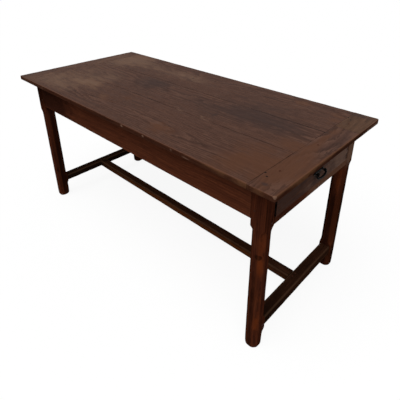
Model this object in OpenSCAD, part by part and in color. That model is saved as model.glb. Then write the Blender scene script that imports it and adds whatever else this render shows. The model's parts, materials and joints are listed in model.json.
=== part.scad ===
// Farmhouse table with one end drawer, pegged frame, chamfered legs and an H stretcher.
// X runs along the table towards the drawer, Y across it towards the back, Z up from the floor.
// The origin is the middle of the footprint on the floor.

/* [Top] */
// Length of the top
top_l = 1644; // [1400:4:2400]
// Width of the top
top_w = 744; // [700:4:1000]
// Height of the top above the floor
table_h = 760; // [700:5:800]
// Thickness of the top boards
top_t = 20; // [18:1:30]
// Width of the cross board at each end of the top
end_board_w = 100; // [84:2:130]
// Width of the front long board
front_board_w = 255; // [200:1:290]
// Width of the middle long board
middle_board_w = 223; // [160:1:260]
// Length of the patch let in at the back of the right end board
patch_l = 188; // [150:2:220]
// Radius of the top's four corners, seen from above
corner_r = 9; // [4:1:16]
// Size of the worn bevel along the top's upper edge
top_bevel = 3; // [1:0.5:5]
// Thickness of the tongues between boards
tongue_t = 6; // [4:0.5:7]
// Length of the tongues between boards
tongue_l = 9; // [6:1:14]
// Length of the tenons that hold the end boards
end_tenon_l = 62; // [50:1:70]
// Width of the tenons that hold the end boards
end_tenon_w = 70; // [40:2:100]

/* [Legs] */
// How far the top stands out past the legs at the ends
end_overhang = 60; // [40:1:90]
// How far the top stands out past the legs at the sides
side_overhang = 54; // [30:1:80]
// Width of the square legs
leg_w = 57; // [52:1:70]
// Width that each chamfer takes off a leg's face
leg_chamfer = 15; // [10:0.5:19]
// Radius of the curved stops at the chamfers' ends
stop_r = 34; // [20:1:60]
// Height of the square part of the leg at a stretcher joint, above and below the stretcher
stop_margin = 4; // [2:1:12]
// Radius of the worn foot's lower edge
foot_r = 9; // [3:1:12]
// Width of the rebate down each leg beside the drawer
leg_rebate_w = 6; // [4:1:9]
// Depth of the rebate down each leg beside the drawer
leg_rebate_d = 22; // [12:1:30]

/* [Aprons and rails] */
// Height of the aprons
apron_h = 144; // [125:1:165]
// Thickness of the aprons
apron_t = 22; // [18:1:26]
// Thickness of the rail under the drawer
lower_rail_t = 27; // [24:1:32]
// Thickness of the rail over the drawer
upper_rail_t = 24; // [18:1:28]
// Length of the apron and rail tenons
tenon_l = 33; // [24:1:34]
// Thickness of the apron tenons
tenon_t = 9; // [7:0.5:10]
// Shoulder above and below the apron tenons
tenon_shoulder = 12; // [8:1:20]
// Thickness of the drawer rails' tenons
rail_tenon_t = 14; // [8:1:16]
// Distance of the drawer rails' tenons from the rails' faces
rail_tenon_inset = 11; // [8:1:16]
// Length of the laps that let the upper rail into the legs
lap_l = 22; // [12:1:26]
// Thickness of those laps
lap_t = 12; // [8:1:16]
// Clearance round every tenon in its mortise
joint_gap = 0.2; // [0.1:0.05:0.4]
// Gap between the drawer's inner end and the inside cross rail
cross_rail_gap = 68; // [20:4:120]
// Thickness of the inside cross rail
cross_rail_t = 24; // [18:1:30]
// Depth of the aprons' housings for the cross rail
housing_d = 6; // [4:1:8]

/* [Stretchers] */
// Height of the stretchers' upper faces above the floor
stretcher_top = 126; // [112:1:220]
// Width of the stretchers across the table
end_stretcher_w = 46; // [40:1:50]
// Thickness of the left stretcher
left_stretcher_t = 34; // [24:1:46]
// Thickness of the right stretcher
right_stretcher_t = 42; // [26:1:46]
// Width of the long stretcher
long_stretcher_w = 44; // [34:1:60]
// Thickness of the long stretcher
long_stretcher_t = 34; // [24:1:40]
// Bevel along the stretchers' upper edges
stretcher_bevel = 3; // [2:0.5:6]
// How far the stretchers across stand in from the legs' outer faces
stretcher_inset = 5; // [2:1:9]
// Thickness of the stretcher tenons
stretcher_tenon_t = 14; // [10:1:18]
// Length of the stretcher tenons
stretcher_tenon_l = 30; // [20:1:34]
// Shoulder at each side of the tenons of the stretchers across
stretcher_shoulder = 8; // [5:0.5:10]
// Shoulder at each side of the long stretcher's tenons
long_shoulder = 4; // [2:0.5:6]

/* [Drawer] */
// Gap between the drawer and each leg
drawer_gap = 5; // [2:0.5:8]
// Length of the drawer from front to back
drawer_l = 480; // [380:5:500]
// Thickness of the drawer front
drawer_front_t = 20; // [16:1:26]
// Thickness of the drawer sides
drawer_side_t = 12; // [9:0.5:16]
// Thickness of the drawer back
drawer_back_t = 11; // [9:0.5:16]
// Thickness of the drawer bottom
drawer_bottom_t = 7; // [5:0.5:9]
// Height of the drawer bottom above the drawer's lower edge
drawer_bottom_rise = 8; // [6:1:14]
// Depth of the groove that holds the drawer bottom
drawer_groove = 5; // [3:0.5:6]
// Gap over the drawer
drawer_top_gap = 2; // [1:0.5:5]
// Height of the drawer back above the bottom
drawer_back_h = 84; // [60:1:92]
// Number of dovetails at each front corner of the drawer
dovetails = 3; // [2:1:4]
// Share of the dovetail pitch that the tail's wide end takes
tail_share = 0.66; // [0.55:0.01:0.75]
// How much narrower a tail is at its root, on each side
tail_flare = 3; // [1.5:0.5:4]
// Running clearance under the drawer
slide_gap = 0.3; // [0.3:0.1:1]
// Height of the drawer guides
guide_h = 20; // [12:1:30]
// Gap between a guide and the drawer side
guide_gap = 1.5; // [1:0.5:3]
// Length of the drawer stops, along the table
drawer_stop_l = 18; // [10:1:30]
// Width of the drawer stops, across the table
drawer_stop_w = 36; // [20:1:60]
// Clearance between the drawer stops and the drawer bottom
drawer_stop_gap = 3; // [1:0.5:4]
// Thickness of the drawer runners
runner_t = 20; // [14:1:22]
// How far a runner reaches in under the drawer side
runner_lap = 8; // [6:1:16]

/* [Handle] */
// Distance of the handle's middle from the drawer's middle, towards the back
handle_y = 9; // [0:1:20]
// Width of the handle's plate
plate_w = 72; // [68:1:110]
// Height of the handle's plate
plate_h = 9; // [8:0.5:24]
// Thickness of the handle's plate
plate_t = 2.5; // [1.5:0.5:4]
// Height of the bail's axis above the drawer's lower edge
pivot_rise = 55; // [50:1:70]
// Distance of the bail's axis from the drawer's face
pivot_out = 13; // [11:0.5:18]
// Distance of each post from the middle of the handle
post_y = 26; // [22:1:28]
// Diameter of the round post heads
post_head_d = 12; // [11:0.5:14]
// Diameter of the posts' shanks
post_d = 5; // [4:0.5:6]
// Length of each post head along the bail's pin
post_head_l = 6; // [5:0.5:8]
// Diameter of the bail's pins and sides
bail_d = 6; // [4.5:0.5:7]
// Diameter of the bail's thicker grip, along its lower bow
grip_d = 8; // [7.5:0.5:10]
// Angle by which the bail's sides run on into the grip
grip_lap = 6; // [4:1:10]
// Clearance round the bail's pins
pin_gap = 0.1; // [0.05:0.01:0.1]
// Drop of the bail below its axis
bail_drop = 18; // [16:1:26]
// Radius of the bends at the bail's sides, over its long lower bow
bail_side_r = 10; // [7:0.5:11]
// Angle by which the bail hangs out from the upright
bail_tilt = 14; // [4:1:20]
// Gap between each post and the bail's arm
arm_gap = 1; // [0.5:0.25:2]
// How far the posts stand out of their nuts
post_end = 1; // [0.5:0.5:3]
// Width of the nuts inside the drawer
nut_w = 10; // [9:1:14]
// Thickness of the nuts inside the drawer
nut_t = 4; // [3:0.5:6]

/* [Pegs and nails] */
// Diameter of the wooden pegs
peg_d = 8; // [6:0.5:9]
// Distance of a peg from the shoulder of its joint
peg_inset = 15; // [11:0.5:16]
// Depth of the pegs in the legs
peg_depth = 30; // [26:1:36]
// Distance of the pegs from the upper and lower edges of an apron
peg_edge = 36; // [28:1:50]
// How far the left apron's pegs stand in from the long aprons' pegs, up and down
peg_step = 16; // [11:1:20]
// Distance of the stretcher pegs from the middle of the long stretcher
t_peg_y = 11; // [8:1:13]
// Diameter of the nails' heads
nail_head_d = 7; // [5:0.5:9]
// Thickness of the nails' heads
nail_head_t = 1.5; // [1:0.5:3]
// Diameter of the nails' shanks
nail_d = 3.2; // [2.5:0.1:4]
// Length of the nails
nail_l = 48; // [36:1:50]
// Half the distance between the two nails in a leg
nail_spread = 8; // [6:1:10]

/* [Hidden] */
$fn = 48;

// Small distance by which a cutting shape passes a face
cut = 1;
// Top: underside, inner edges of the end boards, and the two joints between long boards
top_z = table_h - top_t;
board_x = top_l / 2 - end_board_w;
joint_1_y = -top_w / 2 + front_board_w;
joint_2_y = joint_1_y + middle_board_w;
patch_y = top_w / 2 - patch_l;
tongue_z = top_z + (top_t - tongue_t) / 2;
end_peg_x = board_x + end_tenon_l / 2;
board_middles = [(-top_w / 2 + joint_1_y) / 2, (joint_1_y + joint_2_y) / 2, (joint_2_y + top_w / 2) / 2];
// Legs: outer and inner faces of the frame
out_x = top_l / 2 - end_overhang;
out_y = top_w / 2 - side_overhang;
in_x = out_x - leg_w;
in_y = out_y - leg_w;
leg_x = out_x - leg_w / 2;
leg_y = out_y - leg_w / 2;
chamfer_depth = leg_chamfer / sqrt(2);
// Height that a curved stop takes, from the full chamfer to the square corner
stop_l = sqrt(pow(stop_r, 2) - pow(stop_r - chamfer_depth, 2));
// Distance of a chamfered leg's eight edges from its middle
octagon_r = sqrt(pow(leg_w / 2, 2) + pow(leg_w / 2 - leg_chamfer, 2));
// Heights of the apron's lower edge, of the legs' square blocks and of the drawer opening
apron_z = top_z - apron_h;
block_z = apron_z - lower_rail_t;
opening_h = apron_h - upper_rail_t;
// Stretchers: middles of their widths and heights, their tenons and the pegs through the T joints
stretcher_x = out_x - stretcher_inset - end_stretcher_w / 2;
long_end_x = stretcher_x - end_stretcher_w / 2;
stretcher_mid_left = stretcher_top - left_stretcher_t / 2;
stretcher_mid_right = stretcher_top - right_stretcher_t / 2;
stretcher_mid_long = stretcher_top - long_stretcher_t / 2;
stretcher_tenon_w = end_stretcher_w - 2 * stretcher_shoulder;
long_tenon_w = long_stretcher_w - 2 * long_shoulder;
t_peg_x = long_end_x + stretcher_tenon_l / 2;
// Drawer: outer half width, lower edge, height, back end and face
drawer_y = in_y - drawer_gap;
drawer_z = apron_z + slide_gap;
drawer_h = opening_h - slide_gap - drawer_top_gap;
drawer_face_x = out_x;
drawer_end_x = out_x - drawer_l;
bottom_z = drawer_z + drawer_bottom_rise;
tail_pitch = drawer_h / dovetails;
// Handle: axis of the bail, its arms and bends, and the radius and half angle of its lower bow
pivot_x = drawer_face_x + pivot_out;
pivot_z = drawer_z + pivot_rise;
arm_y = post_y + post_head_l / 2 + arm_gap + bail_d / 2;
elbow_r = bail_d / 2 + arm_gap / 2;
bend_drop = bail_drop - elbow_r;
bow_r = (pow(arm_y, 2) + pow(bend_drop, 2) - 2 * arm_y * bail_side_r) / (2 * (bend_drop - bail_side_r));
bow_end = atan((arm_y - bail_side_r) / (bow_r - bend_drop));
// Inside of the aprons, and the inner edges of what carries the drawer
apron_in_y = out_y - apron_t;
cross_rail_face = drawer_end_x - cross_rail_gap;
cross_rail_back = cross_rail_face - cross_rail_t;
runner_in_y = drawer_y - drawer_side_t - runner_lap;
drawer_stop_h = drawer_bottom_rise - drawer_stop_gap;
// Colours of the wood, the pegs and the iron
top_wood = [0.42, 0.31, 0.25];
patch_wood = [0.46, 0.36, 0.28];
frame_wood = [0.36, 0.22, 0.16];
inner_wood = [0.52, 0.40, 0.28];
peg_wood = [0.30, 0.20, 0.14];
iron = [0.10, 0.09, 0.09];

// A box from its lowest corner to its highest
module span(low, high) {
    translate(low) cube(high - low);
}

// What is modelled at the drawer end, or its mirror image at the other end when sx is -1
module at_end(sx) {
    mirror([sx < 0 ? 1 : 0, 0, 0]) children();
}

// What is modelled at the back, or its mirror image at the front when sy is -1
module at_side(sy) {
    mirror([0, sy < 0 ? 1 : 0, 0]) children();
}

// Round peg along X, Y or Z from a face inwards
module rod(start, direction, length, diameter) {
    translate(start) rotate(direction == "x" ? [0, 90, 0] : direction == "y" ? [-90, 0, 0] : [0, 0, 0])
        cylinder(d = diameter, h = length);
}

// Plan of the whole top with its rounded corners
module top_plan() {
    square([top_l, top_w - 2 * corner_r], center = true);
    square([top_l - 2 * corner_r, top_w], center = true);
    for (sx = [-1, 1], sy = [-1, 1])
        translate([sx * (top_l / 2 - corner_r), sy * (top_w / 2 - corner_r)]) circle(r = corner_r);
}

// The bevel cut along the top's four edges
module edge_bevels() {
    side = top_bevel * sqrt(2);
    for (sy = [-1, 1]) translate([0, sy * top_w / 2, table_h]) rotate([45, 0, 0])
        cube([top_l + 2 * cut, side, side], center = true);
    for (sx = [-1, 1]) translate([sx * top_l / 2, 0, table_h]) rotate([0, 45, 0])
        cube([side, top_w + 2 * cut, side], center = true);
}

// Tongues and tenons at both ends of the long boards, larger by gap for the mortises
module end_tongues(gap) {
    z0 = tongue_z - gap;
    z1 = tongue_z + tongue_t + gap;
    for (sx = [-1, 1]) at_end(sx) {
        span([board_x - cut, -top_w / 2 + corner_r, z0],
             [board_x + tongue_l + gap, top_w / 2 - corner_r, z1]);
        for (y = board_middles)
            span([board_x - cut, y - end_tenon_w / 2 - gap, z0],
                 [board_x + end_tenon_l + gap, y + end_tenon_w / 2 + gap, z1]);
    }
}

// The end boards' pegs, longer at both ends by extra for their bores
module end_pegs(extra) {
    for (sx = [-1, 1], y = board_middles)
        rod([sx * end_peg_x, y, top_z - extra], "z", top_t + 2 * extra, peg_d);
}

// Two nails over each leg, larger by gap for their holes, with heads flush with the top
module nails(gap) {
    for (sx = [-1, 1], sy = [-1, 1], k = [-1, 1])
        translate([sx * leg_x + k * nail_spread, sy * leg_y - k * nail_spread, table_h]) {
            rod([0, 0, -nail_head_t - gap], "z", nail_head_t + 2 * gap, nail_head_d + 2 * gap);
            rod([0, 0, -nail_l - gap], "z", nail_l, nail_d + 2 * gap);
        }
}

// One long board between two Y values, with a groove in its front edge and a tongue on its back edge
module long_board(y0, y1, groove, tongue) {
    reach = board_x + end_tenon_l;
    difference() {
        union() {
            span([-board_x, y0, top_z], [board_x, y1, table_h]);
            intersection() {
                end_tongues(0);
                span([-reach, y0, top_z], [reach, y1, table_h]);
            }
            if (tongue)
                span([-board_x, y1 - cut, tongue_z], [board_x, y1 + tongue_l, tongue_z + tongue_t]);
        }
        if (groove)
            span([-reach - cut, y0 - cut, tongue_z - joint_gap],
                 [reach + cut, y0 + tongue_l + joint_gap, tongue_z + tongue_t + joint_gap]);
        edge_bevels();
        end_pegs(cut);
        nails(joint_gap);
    }
}

module front_board() { color(top_wood) long_board(-top_w / 2, joint_1_y, false, true); }
module middle_board() { color(top_wood) long_board(joint_1_y, joint_2_y, true, true); }
module back_board() { color(top_wood) long_board(joint_2_y, top_w / 2, true, false); }

// A cross board of the top between two Y values, at the drawer end or mirrored to the other
module end_board(sx, y0, y1) {
    difference() {
        intersection() {
            translate([0, 0, top_z]) linear_extrude(top_t) top_plan();
            at_end(sx) span([board_x, y0, top_z], [top_l / 2, y1, table_h]);
        }
        end_tongues(joint_gap);
        edge_bevels();
        end_pegs(cut);
        nails(joint_gap);
    }
}

module left_end_board() { color(top_wood) end_board(-1, -top_w / 2, top_w / 2); }
module right_end_board() { color(top_wood) end_board(1, -top_w / 2, patch_y); }
module right_end_patch() { color(patch_wood) end_board(1, patch_y, top_w / 2); }

module end_board_pegs() { color(peg_wood) end_pegs(0); }
module top_nails() { color(iron) nails(0); }

// The run of one leg chamfer between two heights, with a curved stop at each end that has one.
// The corner is at the origin and the leg lies towards -X, -Y.
module chamfer_cut(z0, z1, low_stop, high_stop) {
    rotate([0, 0, 45]) translate([-chamfer_depth, -leg_w / 2, 0]) {
        translate([0, 0, z0]) cube([leg_w / 2, leg_w, z1 - z0]);
        if (low_stop) rod([stop_r, 0, z0], "y", leg_w, 2 * stop_r);
        if (high_stop) rod([stop_r, 0, z1], "y", leg_w, 2 * stop_r);
    }
}

// Moves a cut to the leg's corner on the side cx, cy, by turns and not by mirrors
module corner(cx, cy) {
    turn = cx > 0 ? (cy > 0 ? 0 : -90) : (cy > 0 ? 90 : 180);
    translate([cx * leg_w / 2, cy * leg_w / 2, 0]) rotate([0, 0, turn]) children();
}

// One leg on the sides sx and sy of the table; t is its stretcher's thickness
module leg(sx, sy, t) {
    high = block_z - stop_l;
    above = stretcher_top + stop_margin + stop_l;
    below = stretcher_top - t - stop_margin - stop_l;
    translate([sx * leg_x, sy * leg_y, 0]) difference() {
        intersection() {
            translate([-leg_w / 2, -leg_w / 2, 0]) cube([leg_w, leg_w, top_z]);
            rotate_extrude() worn_foot();
        }
        // The outer chamfers run on to the floor, and the inner ones stop round the stretcher
        for (cx = [-1, 1]) {
            corner(cx, sy) chamfer_cut(-cut, high, false, true);
            corner(cx, -sy) chamfer_cut(above, high, true, true);
            corner(cx, -sy) chamfer_cut(-cut, below, false, true);
        }
    }
}

// Half section of a round body that wears the foot's lower edge
module worn_foot() {
    square([octagon_r - foot_r, foot_r]);
    translate([0, foot_r]) square([leg_w, table_h]);
    intersection() {
        translate([octagon_r - foot_r, foot_r]) circle(r = foot_r);
        translate([octagon_r - foot_r, 0]) square([foot_r, foot_r]);
    }
}

// Apron tenons at both ends of the long aprons and of the left apron
module apron_tenons(gap) {
    z0 = apron_z + tenon_shoulder - gap;
    z1 = top_z - tenon_shoulder + gap;
    half = tenon_t / 2 + gap;
    mid_x = out_x - apron_t / 2;
    mid_y = out_y - apron_t / 2;
    for (sx = [-1, 1], sy = [-1, 1]) at_end(sx) at_side(sy)
        span([in_x - cut, mid_y - half, z0], [in_x + tenon_l + gap, mid_y + half, z1]);
    for (sy = [-1, 1]) at_end(-1) at_side(sy)
        span([mid_x - half, in_y - cut, z0], [mid_x + half, in_y + tenon_l + gap, z1]);
}

// Tenons of the rail under the drawer and laps of the rail over it
module rail_tenons(gap) {
    x0 = in_x + rail_tenon_inset - gap;
    x1 = out_x - rail_tenon_inset + gap;
    mid = block_z + lower_rail_t / 2;
    half = rail_tenon_t / 2 + gap;
    for (sy = [-1, 1]) at_side(sy) {
        span([x0, in_y - cut, mid - half], [x1, in_y + tenon_l + gap, mid + half]);
        span([x0, in_y - cut, top_z - lap_t - gap], [x1, in_y + lap_l + gap, top_z + gap]);
    }
}

// Tenons of the stretcher across at one end, with the stretcher's middle at the height mid
module stretcher_tenons(sx, mid, gap) {
    half_w = stretcher_tenon_w / 2 + gap;
    half_t = stretcher_tenon_t / 2 + gap;
    for (sy = [-1, 1]) at_end(sx) at_side(sy)
        span([stretcher_x - half_w, in_y - cut, mid - half_t],
             [stretcher_x + half_w, in_y + stretcher_tenon_l + gap, mid + half_t]);
}

// Tenons of the long stretcher
module long_tenons(gap) {
    half_w = long_tenon_w / 2 + gap;
    half_t = stretcher_tenon_t / 2 + gap;
    for (sx = [-1, 1]) at_end(sx)
        span([long_end_x - cut, -half_w, stretcher_mid_long - half_t],
             [long_end_x + stretcher_tenon_l + gap, half_w, stretcher_mid_long + half_t]);
}

// Every peg in the legs, driven in from their outer faces
module leg_peg_set() {
    peg_x = in_x + peg_inset;
    peg_y = in_y + peg_inset;
    low = apron_z + peg_edge;
    high = top_z - peg_edge;
    for (sx = [-1, 1], sy = [-1, 1]) at_end(sx) at_side(sy) {
        for (z = [low, high]) rod([peg_x, out_y - peg_depth, z], "y", peg_depth, peg_d);
        stretcher_mid = sx > 0 ? stretcher_mid_right : stretcher_mid_left;
        rod([out_x - peg_depth, peg_y, stretcher_mid], "x", peg_depth, peg_d);
    }
    for (sy = [-1, 1]) at_side(sy) {
        at_end(-1) for (z = [low + peg_step, high - peg_step])
            rod([out_x - peg_depth, peg_y, z], "x", peg_depth, peg_d);
        rod([out_x - peg_depth, peg_y, block_z + lower_rail_t / 2], "x", peg_depth, peg_d);
    }
}

// A leg with its mortises, peg bores and nail holes, and at the drawer end its rebate
module jointed_leg(sx, sy) {
    difference() {
        leg(sx, sy, sx > 0 ? right_stretcher_t : left_stretcher_t);
        apron_tenons(joint_gap);
        if (sx > 0) rail_tenons(joint_gap);
        stretcher_tenons(sx, sx > 0 ? stretcher_mid_right : stretcher_mid_left, joint_gap);
        leg_peg_set();
        nails(joint_gap);
        if (sx > 0) at_side(sy)
            span([out_x - leg_rebate_d, in_y - cut, apron_z],
                 [out_x + cut, in_y + leg_rebate_w, top_z - upper_rail_t]);
    }
}

module front_left_leg() { color(frame_wood) jointed_leg(-1, -1); }
module front_right_leg() { color(frame_wood) jointed_leg(1, -1); }
module back_left_leg() { color(frame_wood) jointed_leg(-1, 1); }
module back_right_leg() { color(frame_wood) jointed_leg(1, 1); }

// A long apron on the side sy, with its tenons and the housing for the cross rail
module long_apron(sy) {
    difference() {
        union() {
            at_side(sy) span([-in_x, apron_in_y, apron_z], [in_x, out_y, top_z]);
            intersection() {
                apron_tenons(0);
                at_side(sy) span([-in_x - tenon_l, apron_in_y, apron_z], [in_x + tenon_l, out_y, top_z]);
            }
        }
        at_side(sy)
            span([cross_rail_back - joint_gap, apron_in_y - cut, apron_z + tenon_shoulder - joint_gap],
                 [cross_rail_face + joint_gap, apron_in_y + housing_d + joint_gap, top_z + cut]);
        leg_peg_set();
    }
}

module front_apron() { color(frame_wood) long_apron(-1); }
module back_apron() { color(frame_wood) long_apron(1); }

module left_end_apron() {
    color(frame_wood) difference() {
        union() {
            span([-out_x, -in_y, apron_z], [-out_x + apron_t, in_y, top_z]);
            intersection() {
                apron_tenons(0);
                span([-out_x, -in_y - tenon_l, apron_z], [-out_x + apron_t, in_y + tenon_l, top_z]);
            }
        }
        leg_peg_set();
    }
}

// A rail between the right legs from one height to another, with its tenons or laps
module drawer_rail(z0, z1) {
    difference() {
        union() {
            span([in_x, -in_y, z0], [out_x, in_y, z1]);
            intersection() {
                rail_tenons(0);
                span([in_x, -out_y, z0], [out_x, out_y, z1]);
            }
        }
        leg_peg_set();
        nails(joint_gap);
    }
}

module lower_drawer_rail() { color(frame_wood) drawer_rail(block_z, apron_z); }
module upper_drawer_rail() { color(frame_wood) drawer_rail(top_z - upper_rail_t, top_z); }

module cross_rail() {
    wide_y = apron_in_y + housing_d;
    color(inner_wood) {
        span([cross_rail_back, -apron_in_y, apron_z - runner_t], [cross_rail_face, apron_in_y, top_z]);
        span([cross_rail_back, -wide_y, apron_z + tenon_shoulder], [cross_rail_face, wide_y, top_z]);
    }
}

// A strip beside the drawer on the side sy, between two distances from the middle and two heights
module strip(sy, y0, y1, z0, z1) {
    at_side(sy) span([cross_rail_face, y0, z0], [in_x, y1, z1]);
}

module runner(sy) { strip(sy, runner_in_y, apron_in_y, apron_z - runner_t, apron_z); }
module guide(sy) { strip(sy, drawer_y + guide_gap, apron_in_y, apron_z, apron_z + guide_h); }
module kicker(sy) { strip(sy, runner_in_y, apron_in_y, top_z - upper_rail_t, top_z); }

module front_runner() { color(inner_wood) runner(-1); }
module back_runner() { color(inner_wood) runner(1); }
module front_guide() { color(inner_wood) guide(-1); }
module back_guide() { color(inner_wood) guide(1); }
module front_kicker() { color(inner_wood) kicker(-1); }
module back_kicker() { color(inner_wood) kicker(1); }

// Two blocks on the lower rail, just behind the drawer front
module drawer_stops() {
    x1 = drawer_face_x - drawer_front_t - slide_gap;
    color(inner_wood) for (sy = [-1, 1])
        span([x1 - drawer_stop_l, sy * in_y / 2 - drawer_stop_w / 2, apron_z],
             [x1, sy * in_y / 2 + drawer_stop_w / 2, apron_z + drawer_stop_h]);
}

// Section of a stretcher: width w, thickness t, upper edges bevelled, upper face at zero
module stretcher_section(w, t) {
    b = stretcher_bevel;
    polygon([[-w / 2, -t], [w / 2, -t], [w / 2, -b], [w / 2 - b, 0], [-w / 2 + b, 0], [-w / 2, -b]]);
}

// A stretcher across the table at one end, of thickness t, with its middle at the height mid
module cross_stretcher(sx, t, mid) {
    difference() {
        union() {
            translate([sx * stretcher_x, in_y, stretcher_top]) rotate([90, 0, 0])
                linear_extrude(2 * in_y) stretcher_section(end_stretcher_w, t);
            intersection() {
                stretcher_tenons(sx, mid, 0);
                at_end(sx) span([0, -out_y, 0], [out_x, out_y, stretcher_top]);
            }
        }
        long_tenons(joint_gap);
        t_pegs(cut);
        leg_peg_set();
    }
}

// Pegs down through the stretchers' T joints
module t_pegs(extra) {
    for (sx = [-1, 1], sy = [-1, 1])
        rod([sx * t_peg_x, sy * t_peg_y, stretcher_top - long_stretcher_t - extra], "z",
            long_stretcher_t + 2 * extra, peg_d);
}

module left_stretcher() { color(frame_wood) cross_stretcher(-1, left_stretcher_t, stretcher_mid_left); }
module right_stretcher() { color(frame_wood) cross_stretcher(1, right_stretcher_t, stretcher_mid_right); }

module long_stretcher() {
    color(frame_wood) difference() {
        union() {
            translate([-long_end_x, 0, stretcher_top]) rotate([90, 0, 90])
                linear_extrude(2 * long_end_x) stretcher_section(long_stretcher_w, long_stretcher_t);
            long_tenons(0);
        }
        t_pegs(cut);
    }
}

module leg_pegs() { color(peg_wood) leg_peg_set(); }
module stretcher_pegs() { color(peg_wood) t_pegs(0); }

// Outline of the tails at the front of a drawer side, seen from the side
module tail_outline() {
    root = drawer_face_x - drawer_front_t;
    wide = tail_pitch * tail_share / 2;
    narrow = wide - tail_flare;
    for (k = [0 : dovetails - 1]) {
        mid = drawer_z + tail_pitch * (k + 0.5);
        polygon([[root - cut, mid - narrow], [root, mid - narrow], [drawer_face_x, mid - wide],
                 [drawer_face_x, mid + wide], [root, mid + narrow], [root - cut, mid + narrow]]);
    }
}

// The groove for the drawer bottom in the sides and the front
module bottom_groove() {
    g = drawer_groove + joint_gap;
    half_y = drawer_y - drawer_side_t + g;
    span([drawer_end_x - cut, -half_y, bottom_z - joint_gap],
         [drawer_face_x - drawer_front_t + g, half_y, bottom_z + drawer_bottom_t + joint_gap]);
}

// A drawer side on the side sy, dovetailed at the front and grooved for the bottom
module drawer_side(sy) {
    difference() {
        at_side(sy) {
            span([drawer_end_x, drawer_y - drawer_side_t, drawer_z],
                 [drawer_face_x - drawer_front_t, drawer_y, drawer_z + drawer_h]);
            translate([0, drawer_y, 0]) rotate([90, 0, 0]) linear_extrude(drawer_side_t) tail_outline();
        }
        bottom_groove();
    }
}

module drawer_near_side() { color(inner_wood) drawer_side(-1); }
module drawer_far_side() { color(inner_wood) drawer_side(1); }

module drawer_front() {
    inner_x = drawer_face_x - drawer_front_t;
    color(frame_wood) difference() {
        span([inner_x, -drawer_y, drawer_z], [drawer_face_x, drawer_y, drawer_z + drawer_h]);
        for (sy = [-1, 1]) at_side(sy) translate([0, drawer_y + cut, 0])
            rotate([90, 0, 0]) linear_extrude(drawer_side_t + cut) tail_outline();
        bottom_groove();
        for (sy = [-1, 1])
            rod([inner_x - cut, handle_y + sy * post_y, pivot_z], "x",
                drawer_front_t + 2 * cut, post_d + 2 * joint_gap);
    }
}

module drawer_back() {
    z0 = bottom_z + drawer_bottom_t + joint_gap;
    y1 = drawer_y - drawer_side_t;
    color(inner_wood) span([drawer_end_x + drawer_back_t, -y1, z0],
        [drawer_end_x + 2 * drawer_back_t, y1, z0 + drawer_back_h]);
}

module drawer_bottom() {
    y1 = drawer_y - drawer_side_t + drawer_groove;
    color(inner_wood) span([drawer_end_x + drawer_back_t, -y1, bottom_z],
        [drawer_face_x - drawer_front_t + drawer_groove, y1, bottom_z + drawer_bottom_t]);
}

// Iron strap behind the posts, pointed at both ends
module handle_plate() {
    p = plate_h / 3;
    color(iron) translate([drawer_face_x, handle_y, pivot_z]) difference() {
        rotate([90, 0, 90]) linear_extrude(plate_t)
            polygon([[-plate_w / 2, 0], [-plate_w / 2 + p, -plate_h / 2], [plate_w / 2 - p, -plate_h / 2],
                     [plate_w / 2, 0], [plate_w / 2 - p, plate_h / 2], [-plate_w / 2 + p, plate_h / 2]]);
        for (y = [-post_y, post_y])
            rod([-cut, y, 0], "x", plate_t + 2 * cut, post_d + 2 * joint_gap);
    }
}

// Two posts: shank through the drawer front, flat round eye bored for the bail's pin
module handle_posts() {
    tail = drawer_front_t + nut_t + post_end;
    color(iron) for (sy = [-1, 1]) translate([drawer_face_x, handle_y + sy * post_y, pivot_z]) difference() {
        union() {
            rod([-tail, 0, 0], "x", tail + pivot_out - post_head_d / 4, post_d);
            rod([pivot_out, -post_head_l / 2, 0], "y", post_head_l, post_head_d);
        }
        rod([pivot_out, -post_head_l, 0], "y", 2 * post_head_l, bail_d + 2 * pin_gap);
    }
}

module handle_nuts() {
    color(iron) for (sy = [-1, 1])
        translate([drawer_face_x - drawer_front_t - nut_t, handle_y + sy * post_y, pivot_z]) difference() {
            translate([0, -nut_w / 2, -nut_w / 2]) cube([nut_t, nut_w, nut_w]);
            rod([-cut, 0, 0], "x", nut_t + 2 * cut, post_d);
        }
}

// Bent bar of diameter d, radius r about X, between two angles from the -Z axis round to +Y
module bend(r, low, high, d) {
    rotate([0, 90, 0]) rotate([0, 0, low]) rotate_extrude(angle = high - low)
        translate([r, 0]) circle(d = d);
}

// Pin and side of the bail on the side +Y, hanging straight down from its axis at the origin
module bail_side() {
    pin_in = post_y - post_head_l / 2;
    rod([0, pin_in, 0], "y", arm_y - elbow_r - pin_in, bail_d);
    translate([0, arm_y - elbow_r, -elbow_r]) bend(elbow_r, 90, 180, bail_d);
    translate([0, arm_y - bail_side_r, -elbow_r]) bend(bail_side_r, bow_end - grip_lap, 90, bail_d);
}

module handle_bail() {
    color(iron) translate([pivot_x, handle_y, pivot_z]) rotate([0, -bail_tilt, 0]) {
        bail_side();
        mirror([0, 1, 0]) bail_side();
        translate([0, 0, bow_r - bail_drop]) bend(bow_r, -bow_end, bow_end, grip_d);
    }
}

front_board();
middle_board();
back_board();
left_end_board();
right_end_board();
right_end_patch();
end_board_pegs();
top_nails();
front_left_leg();
front_right_leg();
back_left_leg();
back_right_leg();
front_apron();
back_apron();
left_end_apron();
lower_drawer_rail();
upper_drawer_rail();
cross_rail();
front_runner();
back_runner();
front_guide();
back_guide();
front_kicker();
back_kicker();
drawer_stops();
left_stretcher();
right_stretcher();
long_stretcher();
leg_pegs();
stretcher_pegs();
drawer_front();
drawer_near_side();
drawer_far_side();
drawer_back();
drawer_bottom();
handle_plate();
handle_posts();
handle_nuts();
handle_bail();
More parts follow.
